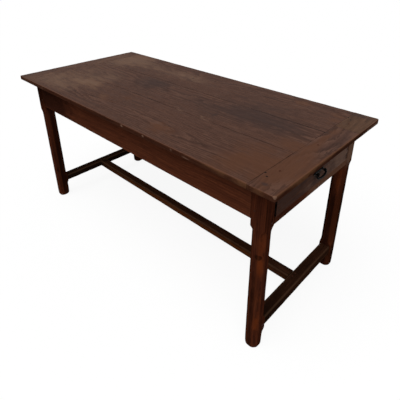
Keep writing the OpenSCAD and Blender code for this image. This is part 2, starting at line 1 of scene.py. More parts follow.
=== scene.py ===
"""An old farmhouse table in waxed, dark stained wood with one drawer in its right-hand end.

The top, legs, aprons, rails and stretchers are worked out here as worn bars, fitted to the solids that
they stand for. The drawer keeps the solids' dovetails with softened edges, and the handle is forged iron.
Lengths are in metres, and MM is one millimetre.
"""
import json
import math

import bmesh
import bpy
import numpy as np
from mathutils import Matrix, Vector


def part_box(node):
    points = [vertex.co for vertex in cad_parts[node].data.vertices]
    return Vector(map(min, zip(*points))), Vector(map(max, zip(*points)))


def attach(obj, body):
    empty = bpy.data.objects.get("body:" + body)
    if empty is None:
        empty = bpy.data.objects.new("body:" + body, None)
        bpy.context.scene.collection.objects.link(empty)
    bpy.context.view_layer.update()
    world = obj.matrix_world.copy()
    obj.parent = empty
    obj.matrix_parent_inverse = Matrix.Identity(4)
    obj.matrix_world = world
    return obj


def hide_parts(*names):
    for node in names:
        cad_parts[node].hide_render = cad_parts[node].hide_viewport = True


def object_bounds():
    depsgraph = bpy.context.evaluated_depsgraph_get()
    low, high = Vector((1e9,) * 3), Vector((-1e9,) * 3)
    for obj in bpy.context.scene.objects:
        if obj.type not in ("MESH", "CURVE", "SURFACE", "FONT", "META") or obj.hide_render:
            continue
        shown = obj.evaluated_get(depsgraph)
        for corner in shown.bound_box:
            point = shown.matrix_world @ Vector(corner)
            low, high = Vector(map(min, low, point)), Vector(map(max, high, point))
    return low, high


MM = 0.001
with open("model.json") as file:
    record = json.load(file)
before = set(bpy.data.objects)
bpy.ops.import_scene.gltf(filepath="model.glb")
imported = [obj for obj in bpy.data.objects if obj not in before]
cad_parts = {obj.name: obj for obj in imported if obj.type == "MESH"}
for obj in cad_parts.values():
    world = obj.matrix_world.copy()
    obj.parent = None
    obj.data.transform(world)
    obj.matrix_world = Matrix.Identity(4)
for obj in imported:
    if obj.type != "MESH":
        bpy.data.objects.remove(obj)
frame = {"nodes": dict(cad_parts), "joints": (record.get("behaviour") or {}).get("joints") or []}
cad_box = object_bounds()

# Sizes that the solids' own boxes don't give, as in the part's source
CORNER_R = 9 * MM
TOP_BEVEL = 3 * MM
LEG_CHAMFER = 15 * MM
STOP_R = 34 * MM
STOP_MARGIN = 4 * MM
FOOT_R = 9 * MM
REBATE_W = 6 * MM
REBATE_D = 22 * MM
STRETCHER_BEVEL = 3 * MM
POST_Y = 26 * MM
POST_HEAD_L = 6 * MM
POST_HEAD_D = 12 * MM
POST_D = 5 * MM
PIN_HOLE_D = 6.2 * MM
BAIL_D = 6 * MM
GRIP_D = 8 * MM
BAIL_DROP = 18 * MM
BAIL_SIDE_R = 10 * MM
BAIL_TILT = math.radians(14)
ARM_Y = 33 * MM
ELBOW_R = 3.5 * MM
PIVOT = next(np.array(j["pos_m"]) for j in frame["joints"] if j["name"] == "bail_swing")


def box_corners(node):
    """The lowest and highest corners of a solid's box, as two arrays."""
    low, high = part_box(node)
    return np.array(low), np.array(high)


def new_object(name, data):
    """An object in the scene for a mesh, a camera or a light."""
    thing = bpy.data.objects.new(name, data)
    bpy.context.scene.collection.objects.link(thing)
    return thing


# Camera, solved from the table's straight edges in the photograph

PHOTO_SIDE = 400
FOCAL_PX = 379.706
CENTRE_PX = (206.044, 132.202)
CAMERA_AT = (1.2724, -1.1302, 1.3703)
YAW = math.radians(43.166)
PITCH = math.radians(25.54)
ROLL = math.radians(0.072)
SENSOR_MM = 36
FARTHEST = 50


def photo_camera():
    """A camera at the photograph's viewpoint; its axis lies off the middle, which the shifts take up."""
    level = Vector((math.cos(YAW), math.sin(YAW), 0))
    forward = Vector((-level.y, level.x, -math.tan(PITCH))).normalized()
    upright = level.cross(forward)
    right = level * math.cos(ROLL) + upright * math.sin(ROLL)
    up = upright * math.cos(ROLL) - level * math.sin(ROLL)
    data = bpy.data.cameras.new("camera")
    data.sensor_width = SENSOR_MM
    data.lens = FOCAL_PX / PHOTO_SIDE * SENSOR_MM
    data.shift_x = (PHOTO_SIDE / 2 - CENTRE_PX[0]) / PHOTO_SIDE
    data.shift_y = (CENTRE_PX[1] - PHOTO_SIDE / 2) / PHOTO_SIDE
    data.clip_end = FARTHEST
    camera = new_object("camera", data)
    turn = Matrix((right, up, -forward)).transposed().to_4x4()
    camera.matrix_world = Matrix.Translation(CAMERA_AT) @ turn
    bpy.context.scene.camera = camera


# Shaders


def linear(hex_colour):
    """An sRGB colour such as "5a3e30" as linear red, green, blue and alpha."""
    parts = [int(hex_colour[i : i + 2], 16) / 255 for i in (0, 2, 4)]
    return (*[c / 12.92 if c <= 0.04045 else ((c + 0.055) / 1.055) ** 2.4 for c in parts], 1)


def add(tree, kind, inputs=None, output=0, **settings):
    """Adds a node with its settings and gives one output. inputs has a value or a link for each socket."""
    node = tree.nodes.new("ShaderNode" + kind)
    for key, value in settings.items():
        setattr(node, key, value)
    for key, value in (inputs or {}).items():
        if isinstance(value, bpy.types.NodeSocket):
            tree.links.new(value, node.inputs[key])
        else:
            node.inputs[key].default_value = value
    return node.outputs[output]


def weighted_sum(tree, start, *parts):
    """Start plus each field times its weight."""
    total = start
    for field, weight in parts:
        total = add(tree, "Math", {0: field, 1: weight, 2: total}, operation="MULTIPLY_ADD")
    return total


def layered(tree, ground, layers):
    """Colours laid over a ground one after another.

    A layer is (field, begins, whole, most, colour): it covers nothing where its field is at begins and its
    greatest share, most, where the field is at whole, with a smooth step between them."""
    colour = linear(ground)
    for field, begins, whole, most, paint in layers:
        sockets = {0: field, 1: begins, 2: whole, 4: most}
        share = add(tree, "MapRange", sockets, interpolation_type="SMOOTHSTEP")
        colour = add(tree, "Mix", {0: share, 6: colour, 7: linear(paint)}, 2, data_type="RGBA")
    return colour


def new_material(name):
    """An empty material, its tree and its Principled shader."""
    material = bpy.data.materials.new(name)
    material.use_nodes = True
    tree = material.node_tree
    return material, tree, tree.nodes["Principled BSDF"]


# How far the grain wanders off its line, and how long, wide and high each bend is
WANDER = 50 * MM
BEND = (500 * MM, 120 * MM, 120 * MM)
# Growth rings are 7 mm wide, and drawn out seven times along the grain. At a scale of one, Blender's
# rings repeat every 2 pi / 20
RING_W = 7 * MM
RING_SCALE = 2 * math.pi / (20 * RING_W)
RING_DRAWN_OUT = 7
# Marks in the wood: length along the grain, width across it, detail, roughness, and whether they follow
# the grain's bends. Real pores are 0.3 mm wide, and are drawn wider so that they show
WOOD_MARKS = {
    "streaks": (300 * MM, 10 * MM, 5, 0.65, True),
    "hairs": (140 * MM, 4 * MM, 3, 0.7, True),
    "pores": (30 * MM, 1.2 * MM, 2, 0.6, True),
    "clouds": (300 * MM, 140 * MM, 4, 0.6, False),
    "mottle": (60 * MM, 30 * MM, 5, 0.65, False),
}
# Where clouds of stain and painted light begin, in the order in which they cover each other: warm, faded,
# dark
CLOUD_BEGINS = {2: 1.05, 0: 1.02, 1: 1.00}
CLOUD_RISE = 0.58
CLOUD_MOST = 0.8
STAIN_EDGE = 6 * MM
# Near black: dirt in the joints, and the painted shadow below the handle
DIRT_AND_SHADOW = "0d0806"


def grain_coordinates(tree, along):
    """Coordinates with the grain along X: the pieces' own "wood" attribute, or the solids' coordinates."""
    if along == "wood":
        return add(tree, "Attribute", output="Vector", attribute_name="wood")
    turns = {"x": (0, 0, 0), "y": (0, 0, -math.pi / 2), "z": (0, math.pi / 2, 0)}
    place = add(tree, "TexCoord", output="Object")
    return add(tree, "Mapping", {"Vector": place, "Rotation": turns[along]})


def waxed_wood(name, grain, clouds, worn, *, along="wood", rough=0.5, shine=0.1, rubbed=0.45, dirty=0.75,
               ring_share=0.15, stained_from=None, grease_and_shadow=None):
    """Old stained and waxed hardwood, planed by hand.

    It shows growth rings and dark pores along the grain, stain that has faded and darkened in clouds, some
    of them painted shade and painted sheen, lighter arrises where hands and knees rub, and dirt in the
    joints. grain is its dark, middle and light colour, clouds its faded, dark and warm one, which also
    serve painted sheen and shade, and rubbed says how far the arrises go over to worn. ring_share is how
    much of the figure is rings. Bare wood is stained again from stained_from on, along its grain.
    grease_and_shadow is the middle and the reach of a dark patch from greasy hands and a painted shadow.
    On the points, "arris" is 1 at a rubbed arris and -1 at a dirty joint, and "patina_and_painted_light"
    adds clouds."""
    material, tree, shader = new_material(name)
    coords = grain_coordinates(tree, along)
    bends = add(tree, "VectorMath", {0: coords, 1: [1 / size for size in BEND]}, operation="MULTIPLY")
    drift = add(tree, "TexNoise", {"Vector": bends, "Scale": 1.0}, "Color")
    centred = add(tree, "VectorMath", {0: drift, 1: (0.5, 0.5, 0.5)}, operation="SUBTRACT")
    bent = add(tree, "VectorMath", {0: centred, 1: (0, WANDER, WANDER), 2: coords}, operation="MULTIPLY_ADD")
    long = add(tree, "VectorMath", {0: bent, 1: (1 / RING_DRAWN_OUT, 1, 1)}, operation="MULTIPLY")
    rings = add(
        tree, "TexWave",
        {"Vector": long, "Scale": RING_SCALE, "Distortion": 4.0, "Detail": 4.0, "Detail Scale": 5.0}, "Fac",
        wave_type="RINGS", rings_direction="X", wave_profile="SAW")
    marks = {}
    for mark, (length, width, detail, roughness, follows) in WOOD_MARKS.items():
        per_size = (1 / length, 1 / width, 1 / width)
        place = add(tree, "VectorMath", {0: bent if follows else coords, 1: per_size}, operation="MULTIPLY")
        sockets = {"Vector": place, "Scale": 1.0, "Detail": detail, "Roughness": roughness}
        marks[mark] = add(tree, "TexNoise", sockets)
    streaks, pores, mottle = marks["streaks"], marks["pores"], marks["mottle"]
    arris = add(tree, "Attribute", output="Fac", attribute_name="arris")
    # Clouds of stain, and of painted shade and painted sheen, stored on the points
    age = add(tree, "Attribute", output="Vector", attribute_name="patina_and_painted_light")
    patina_and_painted_light = [add(tree, "SeparateXYZ", {0: age}, axis) for axis in "XYZ"]

    figure = weighted_sum(
        tree, 0.0, (streaks, 0.7 - ring_share), (rings, ring_share), (marks["hairs"], 0.3))
    broken = weighted_sum(tree, -0.15, (mottle, 1.0), (marks["clouds"], 0.9))
    layers = [(figure, 0.30, 0.50, 1.0, grain[1]), (figure, 0.46, 0.68, 1.0, grain[2])]
    for part, begins in CLOUD_BEGINS.items():
        amount = weighted_sum(tree, broken, (patina_and_painted_light[part], 1.0))
        layers.append((amount, begins, begins + CLOUD_RISE, CLOUD_MOST, clouds[part]))
    layers.append((pores, 0.56, 0.72, 0.35, grain[0]))
    if stained_from is not None:
        place = add(tree, "SeparateXYZ", {0: coords})
        layers.append((place, stained_from, stained_from + STAIN_EDGE, 1.0, clouds[1]))
    if grease_and_shadow is not None:
        place = add(tree, "VectorMath", {0: coords, 1: [1 / r for r in grease_and_shadow[1]]}, operation="MULTIPLY")
        middle = [m / r for m, r in zip(*grease_and_shadow)]
        away = add(tree, "VectorMath", {0: place, 1: middle}, "Value", operation="DISTANCE")
        # A dark patch from greasy hands together with a painted shadow of the bail and strap
        layers.append((away, 1.5, 0.4, 0.8, DIRT_AND_SHADOW))
    rub = weighted_sum(tree, arris, (mottle, 1.1))
    layers.append((rub, 0.95, 1.55, rubbed, worn))
    # Where the stain has faded, the joints are wiped clean too
    filth = weighted_sum(tree, 0.0, (mottle, 1.2), (arris, -1.0), (patina_and_painted_light[0], -1.5))
    layers.append((filth, 0.85, 1.75, dirty, DIRT_AND_SHADOW))
    tree.links.new(layered(tree, grain[0], layers), shader.inputs["Base Color"])

    # The wax is duller on the open, light streaks
    open_grain = weighted_sum(tree, streaks, (mottle, 0.8))
    sockets = {0: open_grain, 1: 0.6, 2: 1.2, 3: rough - 0.07, 4: rough + 0.1}
    dull = add(tree, "MapRange", sockets, interpolation_type="SMOOTHSTEP")
    tree.links.new(dull, shader.inputs["Roughness"])
    shader.inputs["Specular IOR Level"].default_value = shine
    relief = weighted_sum(tree, streaks, (pores, -0.5))
    bump = add(tree, "Bump", {"Height": relief, "Strength": 0.3, "Distance": 0.5 * MM})
    tree.links.new(bump, shader.inputs["Normal"])
    return material


HAMMER_MARK = 6 * MM
RUST_PATCH = 18 * MM


def forged_iron(name):
    """Wrought iron, worked under a hammer and left black from the fire.

    It shows shallow hammer marks 6 mm wide, a dull black scale and a trace of brown rust. The scale is
    hardly a metal to the eye, so the shader is mostly a dark paint with little gloss."""
    material, tree, shader = new_material(name)
    place = add(tree, "TexCoord", output="Object")
    dents, rust = (
        add(tree, "TexNoise", {"Vector": place, "Scale": 1 / size, "Detail": detail, "Roughness": roughness})
        for size, detail, roughness in ((HAMMER_MARK, 3, 0.55), (RUST_PATCH, 4, 0.65)))
    colour = layered(tree, "080707", [(rust, 0.55, 0.78, 1.0, "17100c")])
    tree.links.new(colour, shader.inputs["Base Color"])
    shader.inputs["Metallic"].default_value = 0.1
    shader.inputs["Specular IOR Level"].default_value = 0.08
    dull = add(tree, "MapRange", {0: rust, 1: 0.4, 2: 0.8, 3: 0.45, 4: 0.7}, interpolation_type="SMOOTHSTEP")
    tree.links.new(dull, shader.inputs["Roughness"])
    bump = add(tree, "Bump", {"Height": dents, "Strength": 0.4, "Distance": 0.5 * MM})
    tree.links.new(bump, shader.inputs["Normal"])
    return material


# Meshes


def unit(vectors):
    """Vectors scaled to length one."""
    return vectors / np.maximum(np.linalg.norm(vectors, axis=-1, keepdims=True), 1e-12)


def waves(points, length, seed, count=14):
    """Smooth noise from about -1 to 1 at points: sine waves about that long, in random directions, added."""
    draw = np.random.default_rng(seed)
    heading = unit(draw.normal(size=(count, points.shape[-1])))
    heading = heading * (2 * math.pi / length) * draw.uniform(0.6, 1.5, (count, 1))
    phase = draw.uniform(0, 2 * math.pi, count)
    return np.clip(np.sin(points @ heading.T + phase).sum(-1) / math.sqrt(count), -1, 1)


def set_values(mesh, values):
    """Stores arrays of numbers or of vectors on a mesh's points, by name."""
    for key, value in values.items():
        kind, field = ("FLOAT_VECTOR", "vector") if value.ndim == 2 else ("FLOAT", "value")
        column = mesh.attributes.new(key, kind, "POINT")
        column.data.foreach_set(field, value.astype(np.float32).ravel())


def mesh_object(name, points, faces, values, material):
    """A mesh object at the origin from points, arrays of faces and named values on the points."""
    mesh = bpy.data.meshes.new(name)
    mesh.from_pydata(points.tolist(), [], [face for part in faces for face in part.tolist()])
    set_values(mesh, values)
    mesh.materials.append(material)
    mesh.polygons.foreach_set("use_smooth", np.ones(len(mesh.polygons), bool))
    mesh.update()
    return new_object(name, mesh)


def second_material(piece, material, axis, test):
    """Gives a piece a second material on the faces whose normal, along that axis, passes the test."""
    mesh = piece.data
    mesh.materials.append(material)
    normals = np.zeros(len(mesh.polygons) * 3, np.float32)
    mesh.polygons.foreach_get("normal", normals)
    mesh.polygons.foreach_set("material_index", test(normals.reshape(-1, 3)[:, axis]).astype(np.int32))


def ring_faces(rows, cols, round_trip=False):
    """Four-sided faces between neighbouring rings; a round trip joins the last ring to the first too."""
    i, j = np.meshgrid(np.arange(rows if round_trip else rows - 1), np.arange(cols), indexing="ij")
    k, m = (j + 1) % cols, (i + 1) % rows
    return np.stack([i * cols + j, i * cols + k, m * cols + k, m * cols + j], -1).reshape(-1, 4)


def closed_tube(rings):
    """Points and faces of a tube through rings of points, each end closed by a fan about its middle."""
    rows, cols = rings.shape[:2]
    points = np.concatenate([rings.reshape(-1, 3), rings[[0, -1]].mean(1)])
    here = np.arange(cols)
    after = (here + 1) % cols
    last = (rows - 1) * cols
    middle = np.full(cols, rows * cols)
    fans = np.stack([middle, after, here], -1), np.stack([middle + 1, last + here, last + after], -1)
    return points, [ring_faces(rows, cols), np.stack(fans, 1).reshape(-1, 3)]


def spread(length, spacing):
    """Shares of a side, from 0 to 1 without its ends, closer together towards both ends."""
    count = max(3, int(math.ceil(length / spacing)))
    return 0.5 - 0.5 * np.cos(math.pi * np.arange(1, count) / count)


# How far from an edge rubbing and dirt reach
RUB_REACH = 5 * MM
DIRT_REACH = 1.5 * MM


def nearness(kind, distance):
    """An edge's kind times e to the power of minus the distance over its reach."""
    return kind * np.exp(-distance / (RUB_REACH if kind > 0 else DIRT_REACH))


# A corner that turns by less, in radians, isn't rounded
LEAST_TURN = 0.01


def outline_rings(corners, radii, kinds, spacing, arc=4):
    """Rings of points round an outline at each station, with its corners rounded.

    corners is stations by corners by 2, anticlockwise, and radii is stations by corners. A rounded corner
    is an arc of that radius tangent to both sides. Also gives each point's outward normal, and how near it
    is to a corner, as nearness() gives it."""
    into = unit(corners - np.roll(corners, 1, 1))
    out = unit(np.roll(corners, -1, 1) - corners)
    turn = np.arctan2(into[..., 0] * out[..., 1] - into[..., 1] * out[..., 0], (into * out).sum(-1))
    inward = np.stack([-into[..., 1], into[..., 0]], -1)
    radii = np.where(turn > LEAST_TURN, radii, 0)
    begin = corners - into * (radii * np.tan(turn / 2))[..., None]
    centre = begin + inward * radii[..., None]
    steps = np.arange(arc + 1) / arc
    points, normals, near = [], [], []
    corner_count = corners.shape[1]
    for k in range(corner_count):
        angle = (turn[:, k, None] * steps)[..., None]
        bow = -inward[:, k, None] * np.cos(angle) + into[:, k, None] * np.sin(angle)
        rounded = centre[:, k, None] + bow * radii[:, k, None, None]
        after = (k + 1) % corner_count
        start, end = rounded[:, -1], begin[:, after]
        length = np.linalg.norm(end - start, axis=-1)[:, None]
        share = spread(length.max(), spacing)
        straight = start[:, None] + (end - start)[:, None] * share[:, None]
        square = np.stack([out[:, k, 1], -out[:, k, 0]], -1)[:, None]
        points += [rounded, straight]
        normals += [bow, np.broadcast_to(square, straight.shape)]
        near.append(np.full(rounded.shape[:2], float(kinds[k])))
        near.append(nearness(kinds[k], length * share) + nearness(kinds[after], length * (1 - share)))
    return [np.concatenate(parts, 1) for parts in (points, normals, near)]


# For each direction of the grain, where the length and the outline's two axes lie among X, Y and Z
ORDER = {"x": (0, 1, 2), "y": (1, 2, 0), "z": (2, 0, 1)}
# Steps round a quarter circle, and the rings just inside a bar's rounded end
QUARTER_TURN = np.linspace(0, math.pi / 2, 5)
INSIDE_END = np.array([1, 2, 4]) * MM
# Waves in the worn arrises and hollows in the faces, half as long across the grain as along it
ARRIS_WAVE = 60 * MM
HOLLOW_L = 260 * MM
ACROSS = (1, 2, 2)
# Added to a bar's seed for its hollows and for where it was cut from its plank
HOLLOW_SEED = 50
PLANK_SEED = 900
# Each is cut within 3 m along the grain, and 0.18 m across it, of the pattern's middle
PLANK_REACH = 3 * np.array([1, 0.06, 0.06])
UPRIGHT_BELOW = 0.6


def worn_bar(name, along, start, end, outline, material, body, *, kinds, end_kinds=(-1, -1), end_r, seed,
             step=7 * MM, spacing=9 * MM, wear=0.5 * MM, sag=0.25 * MM, extra=(), stain_and_light_clouds=(), pith=None,
             upright=None):
    """A bar from start to end along X, Y or Z, with rounded ends and worn arrises, in place of a solid.

    outline(t) gives the corners and their radii at the stations t. Near each end the outline is drawn in
    by a quarter circle of radius end_r. The surface then sinks along its normal: by up to wear at the
    arrises and by up to sag elsewhere, both in smooth waves. kinds says of each corner, and end_kinds of
    each end, whether it is rubbed bare (1), holds dirt (-1) or neither (0). stain_and_light_clouds are
    (place, radii, strengths) in millimetres, each a round cloud e to the power of minus the square of the
    distance, in radii; its strengths are those of the faded, dark and warm colours, as stain or as painted
    shade and sheen. pith is where the tree's middle lies on the outline's two axes, and upright the
    material of faces that stand upright, if they differ."""
    count = max(2, int(math.ceil((end - start) / step)))
    t = np.concatenate([
        start + end_r[0] * (1 - np.cos(QUARTER_TURN)),
        np.linspace(start + end_r[0], end - end_r[1], count + 1)[1:-1],
        start + end_r[0] + INSIDE_END,
        end - end_r[1] - INSIDE_END,
        np.asarray(extra, float),
        end - end_r[1] * (1 - np.cos(QUARTER_TURN)),
    ])
    t = np.unique(np.round(t, 7))
    drawn_in = np.zeros_like(t)
    for radius, gap in ((end_r[0], t - start), (end_r[1], end - t)):
        depth = np.clip(radius - gap, 0, radius)
        drawn_in = np.maximum(drawn_in, radius - np.sqrt(radius**2 - depth**2))
    corners, radii = outline(t)
    into = unit(corners - np.roll(corners, 1, 1))
    out = unit(np.roll(corners, -1, 1) - corners)
    inward = np.stack([-into[..., 1] - out[..., 1], into[..., 0] + out[..., 0]], -1)
    corners = corners + inward * (drawn_in[:, None] / (1 + (into * out).sum(-1)))[..., None]
    flat, normals, near = outline_rings(corners, radii, kinds, spacing)
    rings = np.concatenate([np.broadcast_to(t[:, None, None], (*flat.shape[:2], 1)), flat], -1)
    for kind, gap in ((end_kinds[0], t - start), (end_kinds[1], end - t)):
        near = near + nearness(kind, gap)[:, None]
    near = np.clip(near, -1, 1)
    arris_sink = wear * (0.55 + 0.45 * waves(rings * ACROSS, ARRIS_WAVE, seed)) * near**2
    face_sink = sag * (0.5 + 0.5 * waves(rings * ACROSS, HOLLOW_L, seed + HOLLOW_SEED))
    rings[..., 1:] -= normals * (arris_sink + face_sink)[..., None]
    points, faces = closed_tube(rings)

    plank = np.random.default_rng(seed + PLANK_SEED).uniform(-1, 1, 3) * PLANK_REACH
    if pith:
        plank[1:] = -np.array(pith)
    placed = np.empty_like(points)
    placed[:, ORDER[along]] = points
    patina_and_painted_light = np.zeros((len(points), 3))
    for place, size, strengths in stain_and_light_clouds:
        away = (placed[:, : len(place)] - np.array(place) * MM) / (np.array(size) * MM)
        patina_and_painted_light += np.exp(-(away**2).sum(-1))[:, None] * np.array(strengths)
    values = {"wood": points + plank, "arris": np.append(near.ravel(), end_kinds), "patina_and_painted_light": patina_and_painted_light}
    piece = mesh_object(name, placed, faces, values, material)
    if upright is not None:
        second_material(piece, upright, 2, lambda rise: np.abs(rise) < UPRIGHT_BELOW)
    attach(piece, body)
    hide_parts(name)


def rectangle(low, high, radii):
    """An outline that is the same rectangle at every station: two corners and a radius for each corner."""
    (x0, y0), (x1, y1) = low, high
    corners = np.array([(x0, y0), (x1, y0), (x1, y1), (x0, y1)])

    def outline(t):
        return np.broadcast_to(corners, (len(t), 4, 2)), np.broadcast_to(np.array(radii), (len(t), 4))

    return outline


# Materials

# Dry walnut with little wax left: a soft brown with its figure in plain sight, greyed partly by scrubbing
# and partly by a painted sheen of the wax
top_wood = waxed_wood(
    "waxed_walnut_top", ("34221b", "4b332a", "5d4236"), ("6e5545", "3a2b27", "553626"), "704a34",
    shine=0.05, rubbed=0.25, ring_share=0.26, dirty=0.6)
# The top's upright edges, which no one scrubs: red-brown and dull, without the top's painted sheen, with
# pale wood where they are chipped
edge_wood = waxed_wood(
    "waxed_walnut_edges", ("28150f", "361d14", "412419"), ("795d4d", "22120c", "64442e"), "523424",
    rough=0.6, shine=0.0, rubbed=0.2)
# The length let in at the back of the right end board: the same walnut with the same painted sheen, greener
# and a little lighter
patch_wood = waxed_wood(
    "waxed_walnut_patch", ("3a281e", "4e3729", "5d4435"), ("6a5142", "392c29", "593928"), "6c4a3a",
    shine=0.05, rubbed=0.22, dirty=0.6)
# The legs' thick old stain: nearly black-red in the hollows, orange where the chamfers are rubbed
leg_wood = waxed_wood(
    "waxed_walnut_legs", ("27120a", "3c1c12", "4e2717"), ("765a4a", "1e0d07", "602c13"), "5e2e18",
    rough=0.62, shine=0.0, rubbed=0.25)
# Aprons and rails in the same stain, a shade lighter and redder
apron_wood = waxed_wood(
    "waxed_walnut_aprons", ("3b1e14", "4d281a", "5d3220"), ("684a3a", "2a150f", "64301b"), "6e3c22",
    rough=0.6, shine=0.0, rubbed=0.3)
# Stretchers that feet have soiled: dark olive brown, with arrises worn to bare wood. Their clouds darken
# them further, partly as dirt and partly as painted shade under the table
stretcher_wood = waxed_wood(
    "waxed_walnut_stretcher", ("1f110a", "301b11", "402619"), ("5a3e2c", "180e09", "542c13"), "5c4230",
    rough=0.6, shine=0.0, rubbed=0.3)
# The drawer front turns grey-brown towards its far end, a painted sheen. Below the handle is a dark patch
# from greasy hands and a painted shadow of the bail and strap, which goes right through the wood
GREASE_AND_SHADOW_AT = (PIVOT[1] - 4 * MM, PIVOT[2] - 14 * MM, 0)
GREASE_AND_SHADOW_REACH = (26 * MM, 13 * MM, 1e3)
drawer_wood = waxed_wood(
    "waxed_walnut_drawer", ("2a160e", "3a2016", "482a1c"), ("745748", "22130e", "4c2919"), "5c3a28",
    rough=0.55, shine=0.03, grease_and_shadow=(GREASE_AND_SHADOW_AT, GREASE_AND_SHADOW_REACH))
# End grain drinks stain and dirt, and the drawer front's near end sits in the shaded gap beside the leg: it
# is painted almost black, as end grain and as painted shade, with no sheen
end_grain_and_gap_shade = waxed_wood(
    "end_grain_and_painted_gap_shade", ("090605", "0e0908", "140d0a"), ("140d0a", "0a0706", "140d0a"), "2a1a12",
    along="x", rough=0.8, shine=0.0)
# Oak inside the frame and the drawer was never stained: a dusty, dry yellow-brown
BARE_OAK = {"grain": ("4a3524", "6b4f37", "80634a"), "worn": "80634a", "rough": 0.7}
BARE_CLOUDS = ("80634a", "54402f", "6f4c30")
bare_wood = {a: waxed_wood("bare_oak_" + a, clouds=BARE_CLOUDS, along=a, **BARE_OAK) for a in "xy"}
# The drawer's sides are bare too, but black with stain where their ends show in the front's dovetails
STAIN_FROM = box_corners("drawer_front")[0][0] - STAIN_EDGE
side_wood = waxed_wood(
    "bare_oak_drawer_side", clouds=("80634a", "140b08", "6f4c30"), stained_from=STAIN_FROM, **BARE_OAK)
# Oak pegs, stained with the frame: their end grain is a dark, slightly glossy dot
peg_wood = waxed_wood(
    "waxed_oak_pegs", ("24120b", "3a1c12", "4a2818"), ("4a2a1a", "1c0f0a", "42210f"), "4c2a18",
    along="z", shine=0.04)
# Black iron of the handle and the nails, dull from the fire
iron = forged_iron("forged_iron")


# Top

under_z, top_z = (corner[2] for corner in box_corners("front_board"))
joint_x = box_corners("right_end_board")[0][0]
half_l, half_w = cad_box[1][:2]
front_joint_y = box_corners("middle_board")[0][1]
back_joint_y = box_corners("back_board")[0][1]
patch_y = box_corners("right_end_patch")[0][1]
SHUT = 0.5 * MM
LOWER_R = 2 * MM

# Clouds in the top's stain, and a painted sheen: place and radii in millimetres, and how faded, dark and
# warm
TOP_CLOUDS = [
    # Faded by light and scrubbing; the wide first one, over the far left end, is partly a painted sheen
    ((-700, 0), (300, 600), (0.44, 0, 0)),
    ((-540, -315), (190, 45), (0.22, 0, 0)),
    ((-400, -60), (90, 50), (0.3, 0, 0)),
    ((-110, 240), (150, 70), (0.45, 0, 0)),
    ((-280, 215), (130, 80), (0.22, 0, 0)),
    # Warm, where the stain has worn thin
    ((-440, -170), (130, 60), (0.5, 0, 0.85)),
    ((-610, -240), (120, 60), (0.25, 0, 0.4)),
    ((-660, 220), (90, 110), (0.25, 0, 0.55)),
    ((-640, 330), (60, 30), (0, 0, 0.6)),
    ((-630, 330), (90, 30), (0.1, 0, 0.3)),
    ((-200, -255), (60, 35), (0.25, 0, 0.45)),
    ((-480, 260), (170, 90), (0.28, 0, 0.1)),
    ((-115, -200), (60, 80), (0, 0, 0.45)),
    ((236, -286), (90, 60), (0.25, 0, 0.75)),
    ((520, 314), (70, 40), (0.3, 0, 0.6)),
    ((630, -250), (120, 130), (0.1, 0, 0.8)),
    ((680, -60), (75, 45), (0.25, 0, 0.6)),
    ((690, 250), (60, 90), (0.25, 0, 0.55)),
    ((745, 60), (20, 120), (0.1, 0, 0.7)),
    ((770, -220), (60, 150), (-0.2, 0.1, 0.8)),
    # Dark, from spills and from what stood there
    ((0, -340), (3000, 40), (0, 0.12, 0.05)),
    ((-600, 100), (150, 60), (0, 0.2, 0)),
    ((-540, -75), (60, 40), (0, 0.35, 0)),
    ((-440, 40), (170, 90), (0, 0.2, 0)),
    ((-190, 30), (120, 105), (0, 0.6, 0)),
    ((100, -20), (260, 110), (0, 0.25, 0)),
    ((300, 350), (420, 25), (0, 0.2, 0)),
    ((386, 39), (200, 110), (0, 0.62, 0)),
    ((470, 190), (200, 60), (0, 0.35, 0)),
    ((600, 60), (150, 90), (0, 0.38, 0)),
    ((760, 345), (60, 20), (0, 0.6, 0)),
    ((806, 80), (16, 220), (0, 0.45, 0)),
    ((-800, -230), (60, 150), (0, 0.35, 0)),
    ((-805, 100), (35, 300), (0, 0.2, 0)),
    # Along the joints between the long boards: dirt, and wear down to paler wood
    ((500, -117), (260, 3), (0, 0.3, 0)),
    ((560, 106), (200, 3), (0, 0.5, 0)),
    ((690, 107), (50, 3), (0, 0.9, 0)),
    ((149, -103), (14, 7), (0.8, 0, 0.2)),
    ((286, -103), (14, 7), (0.8, 0, 0.2)),
    ((170, -117), (24, 5), (0.8, -0.4, 0)),
    ((310, -117), (56, 5), (0.5, -0.4, 0)),
    # Spots and small knots
    ((-105, 239), (9, 7), (0, 0.8, 0)),
    ((-180, 270), (8, 6), (0, 0.6, 0)),
    ((149, 231), (10, 7), (0, 0.7, 0)),
    ((311, -50), (6, 16), (0, 0.7, 0)),
    ((761, -336), (10, 8), (0, 0.9, 0)),
    # Chips in the upright edges, placed in three directions
    ((107, -372, 753), (6, 5, 5), (1.2, 0, 0)),
    ((239, -372, 752), (5, 5, 5), (1.2, 0, 0)),
    ((395, -372, 750), (7, 5, 4), (1.0, 0, 0)),
    ((465, -372, 747), (24, 5, 3), (0.7, 0, 0)),
    ((821, -371, 758), (7, 6, 6), (2.2, -0.5, 0)),
    # The edges' upper halves, which sleeves have rubbed warm or pale
    ((822, 0, 758), (9, 420, 5), (0, 0, 0.55)),
    ((822, 320, 748), (12, 170, 9), (0.6, -0.3, 0.1)),
    ((560, -372, 757), (200, 9, 5), (0, 0, 0.25)),
]

